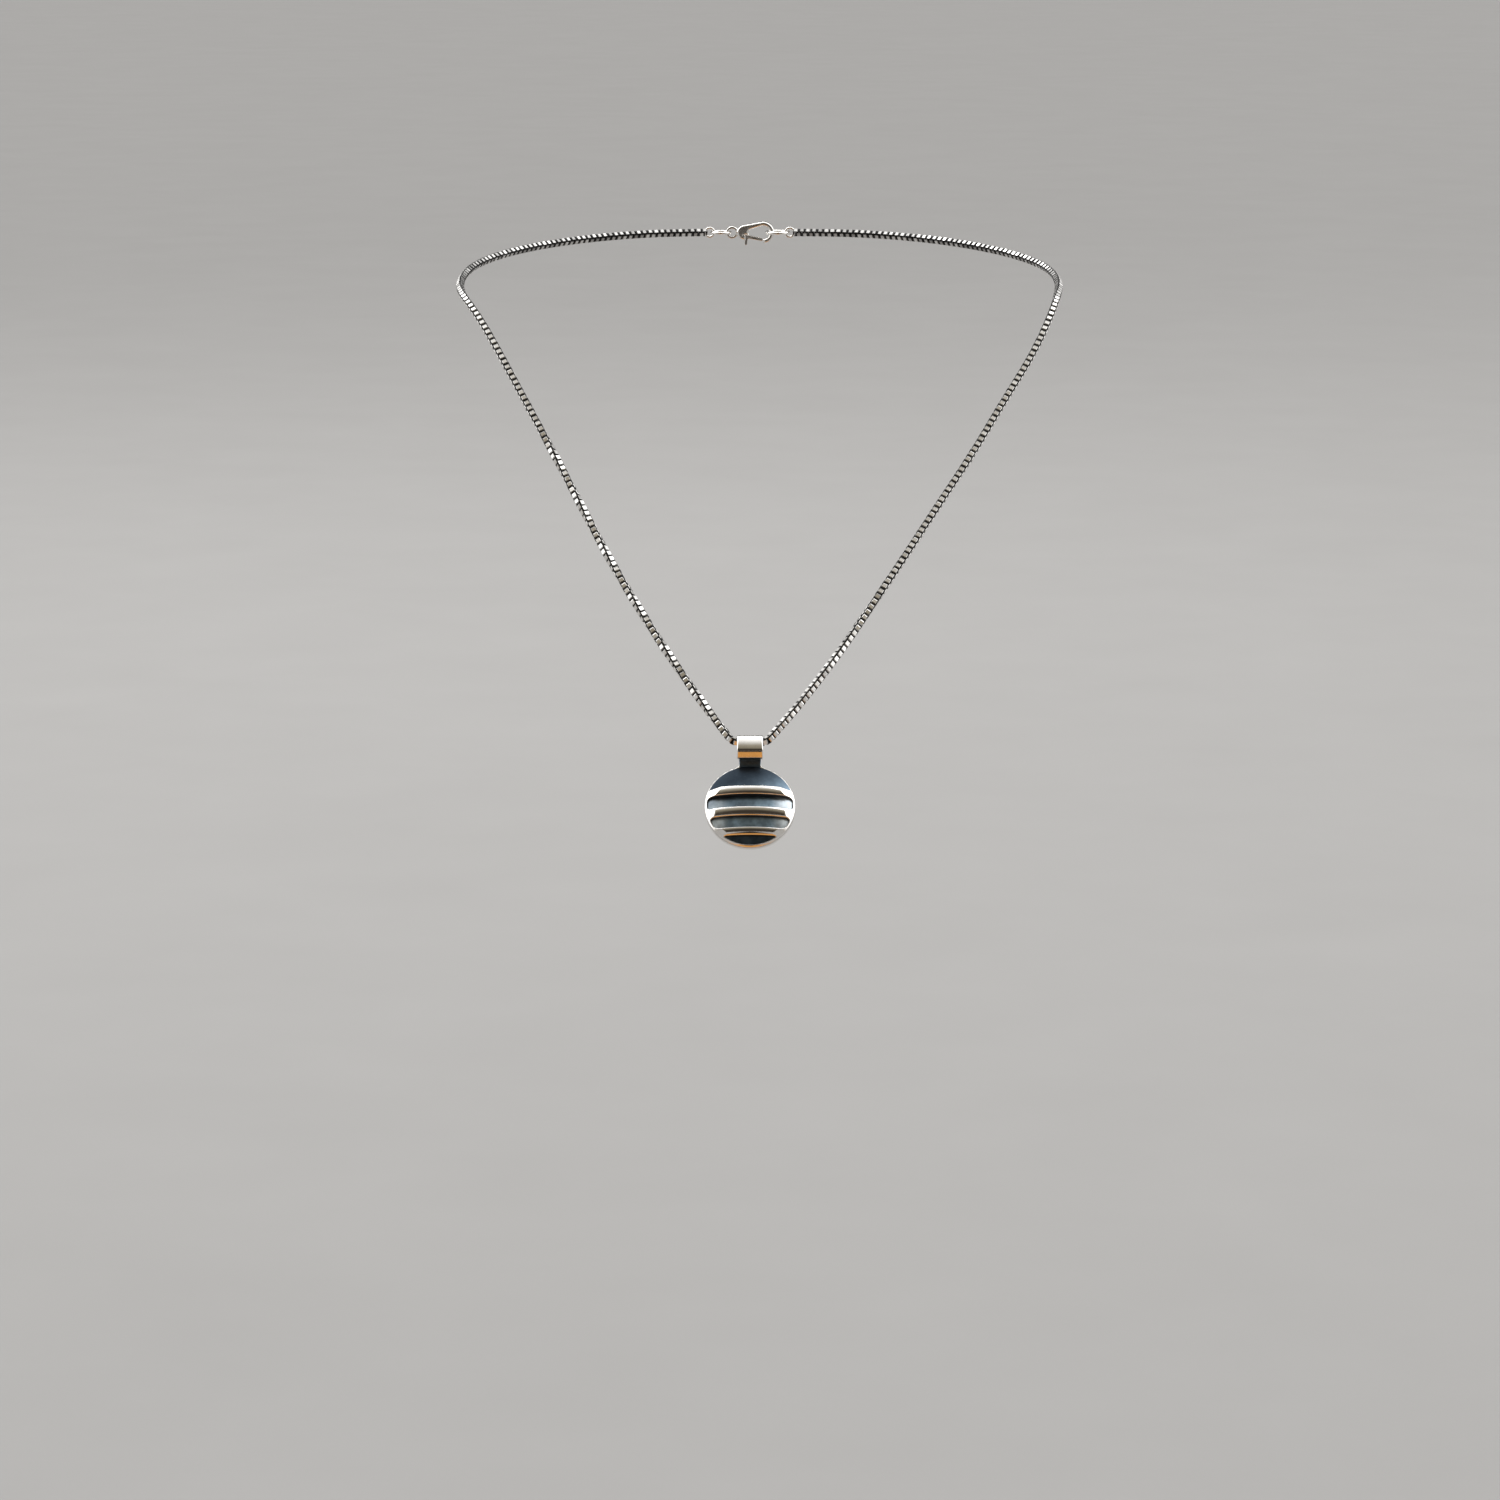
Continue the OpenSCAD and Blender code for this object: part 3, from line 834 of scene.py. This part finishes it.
def make_chain():
    """Five stretches: from the clasp over each shoulder, down each side of the chest, and in the bail."""
    # The stretches over the shoulders end just after their bend
    past_shoulder = 0.025
    bail_half = 0.0029
    seams = [0, left_shoulder_at + past_shoulder, bail_at - bail_half, bail_at + bail_half,
             right_shoulder_at - past_shoulder, total_length]
    names = ["chain_back_left", "chain_front_left", "bail_links", "chain_front_right", "chain_back_right"]
    made = {node: chain_piece(node + "_links", low, high + (high == total_length))
            for node, low, high in zip(names, seams, seams[1:])}
    for side, from_end in (("left", False), ("right", True)):
        back, front = made["chain_back_" + side], made["chain_front_" + side]
        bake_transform(back)
        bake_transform(front)
        i = names.index("chain_back_" + side)
        declare_chain("chain_back_" + side, seams[i], seams[i + 1], from_end)
        i = names.index("chain_front_" + side)
        declare_chain("chain_front_" + side, seams[i], seams[i + 1], from_end)
    stands_for(made["bail_links"], "bail_span", "bail_links")


# ---------------------------------------------------------------- clasp

nape = np.array(joints["clasp_roll"]["pos_m"])
pivot = (np.array(joints["lever_open"]["pos_m"]) - nape) / MM
# The clasp's axes: X along the chain, Y down to the lever's side, Z through its thickness
clasp_axes = np.array([[1.0, 0, 0], [0, 0, -1.0], [0, 1.0, 0]]).T
clasp_place = (clasp_axes, nape)
PIVOT = (pivot[0], -pivot[2])
CLAW_T, EYE_T, LEVER_T, SLOT_T, PIN_R = 1.8, 1.0, 0.8, 0.95, 0.3
CLAW = ((2.0, 0.0), 2.4)
NECK = ((-2.3, 0.0), 1.6)
CLAW_INSIDE = ((1.9, 0.0), 1.5)
THROAT = ((-0.6, 0.0), 0.75)
EYE_X, EYE_R, EYE_HOLE_R = -5.0, 1.4, 0.85
MOUTH_Y = 0.55
MOUTH_ROUND, CLAW_ROUND, EYE_ROUND, EYE_FILLET = 0.12, 0.42, 0.25, 0.3
LEVER_TIP = (1.58, 1.55)
ARM_R, HUB_R, PIN_PLAY = 0.35, 0.6, 0.03


def clasp_field(p):
    """The lobster claw: a puffed drop with a mouth, a slot for the lever and an eye."""
    x, y, z = p.T
    outline = two_circles(x, y, *NECK, *CLAW)
    opening = two_circles(x, y, *THROAT, *CLAW_INSIDE)
    mouth = box_outline(x, y, (PIVOT[0] + 0.55, MOUTH_Y), (CLAW[0][0], CLAW[1] + 1))
    outline = round_max(outline, -np.minimum(opening, mouth), MOUTH_ROUND)
    body = round_max(outline, np.abs(z) - CLAW_T / 2, CLAW_ROUND)
    eye = np.minimum(np.hypot(x - EYE_X, y) - EYE_R, box_outline(x, y, (EYE_X, -0.6), (EYE_X + 3.2, 0.6)))
    eye = round_max(np.maximum(eye, -opening), np.abs(z) - EYE_T / 2, EYE_ROUND)
    whole = round_min(body, eye, EYE_FILLET)
    hole = np.hypot(x - EYE_X, y) - EYE_HOLE_R
    slot = np.maximum(box_outline(x, y, (PIVOT[0] - 0.9, PIVOT[1] - 0.75), (PIVOT[0] + 1.7, 4)),
                      np.abs(z) - SLOT_T / 2)
    pin_hole = np.hypot(x - PIVOT[0], y - PIVOT[1]) - PIN_R
    whole = round_max(whole, -hole, 0.15)
    return np.max([round_max(whole, -slot, 0.06), -pin_hole], axis=0)


def lever_field(p):
    """The spring lever with its thumb nub."""
    x, y, z = p.T
    u, v = x - PIVOT[0], y - PIVOT[1]
    arm = two_circles(x, y, (PIVOT[0] + 0.3, PIVOT[1] + 0.25), ARM_R, LEVER_TIP, ARM_R)
    nub = two_circles(x, y, (PIVOT[0] + 0.7, PIVOT[1] + 0.5), 0.4, (PIVOT[0] + 0.6, PIVOT[1] + 1.9), ARM_R)
    hub = np.hypot(u, v) - HUB_R
    outline = round_min(round_min(arm, hub, 0.2), nub, 0.25)
    body = round_max(outline, np.abs(z) - LEVER_T / 2, 0.14)
    return np.maximum(body, PIN_R + PIN_PLAY - np.hypot(u, v))


def wire_ring(name, centre, ring_r, wire, axes, opening_at, body, node):
    """A round wire ring with the fine seam where its ends were closed."""
    seam = math.radians(1.2)
    around = np.linspace(opening_at + seam / 2, opening_at + 2 * math.pi - seam / 2, 97)
    about = np.linspace(0, 2 * math.pi, 24, endpoint=False)
    flat = ring_r + wire / 2 * np.cos(about)
    points = np.stack([np.outer(np.cos(around), flat), np.outer(np.sin(around), flat),
                       np.outer(np.ones(len(around)), wire / 2 * np.sin(about))], axis=-1).reshape(-1, 3)
    n = len(about)
    faces = [[i * n + k, (i + 1) * n + k, (i + 1) * n + (k + 1) % n, i * n + (k + 1) % n]
             for i in range(len(around) - 1) for k in range(n)]
    caps = [list(range(n)), list(range(len(points) - 1, len(points) - n - 1, -1))]
    piece = make_piece(name, points @ axes.T * MM + centre, faces + caps, clasp_metal,
                       flat_faces=len(caps), attributes=all_open(points))
    return stands_for(piece, body, node)


def node_centre(node):
    """The middle of a CAD node's box, in metres."""
    low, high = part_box(node)
    return (np.array(low) + np.array(high)) / 2


def make_clasp():
    """The claw, lever and pin, the two jump rings, and the rings at the chain's ends."""
    claw = carved("claw", clasp_field, (-6.7, -2.7, -1.1), (4.6, 2.7, 1.1), 0.055, clasp_place, clasp_metal)
    stands_for(claw, "clasp", "clasp_body")
    lever = carved("lever", lever_field, (-3.4, -0.2, -0.6), (2.2, 3.1, 0.6), 0.04, clasp_place, clasp_metal)
    stands_for(lever, "lever", "clasp_lever")

    half = CLAW_T / 2
    rivet = [(0, -half - 0.02), (PIN_R * 0.7, -half), (PIN_R, -half + 0.08),
             (PIN_R, half - 0.08), (PIN_R * 0.7, half), (0, half + 0.02)]
    place = (clasp_axes, nape + clasp_axes @ np.array([*PIVOT, 0]) * MM)
    pin = turned("lever_pin", rivet, place, clasp_metal, segments=48)
    stands_for(pin, "clasp", "clasp_pin")

    flat, standing = np.eye(3), np.array([[1.0, 0, 0], [0, 0, 1.0], [0, -1.0, 0]]).T
    wire_ring("clasp_jump_ring", node_centre("clasp_ring"), 2.1, 0.6, flat, 1.9, "neck_chain", "clasp_ring")
    wire_ring("catch_jump_ring", node_centre("catch_ring"), 2.4, 0.7, flat, 1.2, "neck_chain", "catch_ring")
    for side in ("left", "right"):
        node = "end_ring_" + side
        wire_ring(node + "_wire", node_centre(node), 1.0, 0.5, standing, 1.57, "neck_chain", node)


def dress_spring():
    """The leaf spring keeps its CAD shape and gets its metal."""
    materials = frame["nodes"]["clasp_spring"].data.materials
    materials.clear()
    materials.append(spring_metal)


# ---------------------------------------------------------------- studio

FLOOR_BELOW = 0.125
# Where the card starts and ends in front of the pendant, where it darkens, and half its width
CARD_NEAR, CARD_FAR, CARD_DARKENS, CARD_DARK, CARD_HALF_W = 0.04, 4, 0.35, 0.45, 0.45
WARM, DIM, NEUTRAL = (0.66, 0.31, 0.085), (0.035, 0.027, 0.02), (0.45, 0.43, 0.41)


def sheet(name, low, high, z, material):
    """A flat level rectangle between two corners."""
    (x0, y0), (x1, y1) = low, high
    corners = np.array([(x0, y0, z), (x1, y0, z), (x1, y1, z), (x0, y1, z)])
    piece = make_piece(name, corners, [[0, 1, 2, 3]], material, flat_faces=1)
    piece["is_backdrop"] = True
    return piece


def make_floor():
    """A plain pale floor below the pendant, reaching past the edges of the picture."""
    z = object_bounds()[0][2] - FLOOR_BELOW
    s = Shader("floor_paint")
    s.set(colour=s.mix(s.noise(0.02, detail=4), (0.295, 0.29, 0.285), (0.315, 0.31, 0.305)), roughness=0.7)
    s.surface.inputs["Specular IOR Level"].default_value = 0
    sheet("floor", (-15, -15), (15, 15), z, s.material)
    return z


def make_glow_card(floor_z):
    """A glowing card on the floor that lights nothing and is seen only in reflections: it shows as a warm
    reflection under the pendant and a dark one further forward.
    """
    s = Shader("glow_card")
    spot = s.add("ShaderNodeSeparateXYZ")
    s.feed(spot.inputs[0], s.place)
    forward = s.spread(spot.outputs["Y"], float(hang[1] - CARD_DARKENS) / MM, float(hang[1] - CARD_DARK) / MM)
    aside = s.spread(s.math("ABSOLUTE", spot.outputs["X"]), 80.0, 190.0)
    glow = s.add("ShaderNodeEmission")
    s.feed(glow.inputs["Color"], s.mix(aside, s.mix(forward, WARM, DIM), NEUTRAL))
    s.feed(s.nodes["Material Output"].inputs["Surface"], glow.outputs[0])
    near, far = (CARD_HALF_W, hang[1] - CARD_NEAR), (-CARD_HALF_W, hang[1] - CARD_FAR)
    glow_card = sheet("glow_card", far, near, floor_z + 0.002, s.material)
    glow_card.visible_camera = glow_card.visible_diffuse = glow_card.visible_shadow = False


def soft_light(name, location, target, size, power):
    """A rectangular lamp that faces a target and isn't seen itself."""
    data = bpy.data.lights.new(name, "AREA")
    data.shape = "RECTANGLE"
    data.size, data.size_y = size
    data.energy = power
    light = add_object(name, data)
    light.location = location
    light.rotation_euler = (Vector(location) - Vector(target)).to_track_quat("Z", "Y").to_euler()
    light.visible_camera = False


class World(NodeTree):
    """The studio's surroundings, built from smooth cones of direction."""

    def __init__(self):
        world = bpy.data.worlds.new("studio")
        bpy.context.scene.world = world
        super().__init__(world)
        self.direction = self.add("ShaderNodeTexCoord").outputs["Generated"]

    def cone(self, azimuth, elevation, inner, outer):
        """0 within inner degrees of a direction, 1 beyond outer degrees of it and smooth between."""
        a, e = math.radians(azimuth), math.radians(elevation)
        axis = (math.sin(a) * math.cos(e), -math.cos(a) * math.cos(e), math.sin(e))
        angle = self.math("ARCCOSINE", self.dot(self.direction, axis))
        return self.spread(angle, math.radians(inner), math.radians(outer))


# The surroundings' colours: all round, in front, straight in front, behind, and as the camera sees them
WHITE, WALL, ROOM, CHEST = (1.25, 1.25, 1.24), (0.30, 0.265, 0.20), (0.045, 0.036, 0.027), (0.10, 0.095, 0.09)
BACKDROP = (0.60, 0.60, 0.60)
# White panels at both sides, low and high: azimuth, elevation, strength, inner and outer cone
SIDE_PANELS = [(-100, 4, 1.6, 26, 40), (100, 4, 1.6, 26, 40), (-100, 42, 2.5, 24, 34), (98, 46, 2.5, 26, 36)]


def make_world():
    """Soft white overhead and at both sides; dim in front, and grey behind, as by the wearer's chest."""
    w = World()
    colour = w.mix(w.cone(0, 0, 28, 58), ROOM, WALL)
    colour = w.mix(w.cone(0, 0, 56, 92), colour, WHITE)
    colour = w.mix(w.cone(180, 0, 26, 42), CHEST, colour)
    for azimuth, elevation, strength, inner, outer in SIDE_PANELS:
        colour = w.mix(w.cone(azimuth, elevation, inner, outer), (strength,) * 3, colour)
    seen = w.add("ShaderNodeLightPath").outputs["Is Camera Ray"]
    w.feed(w.nodes["Background"].inputs["Color"], w.mix(seen, colour, BACKDROP))


def make_studio():
    """The floor, its glowing card, the surroundings and one lamp behind and above."""
    make_glow_card(make_floor())
    make_world()
    soft_light("key", (-0.3, 1.0, 1.1), tuple(hang), (1.0, 0.6), 10)


make_chain()
make_pendant()
make_clasp()
dress_spring()
make_studio()
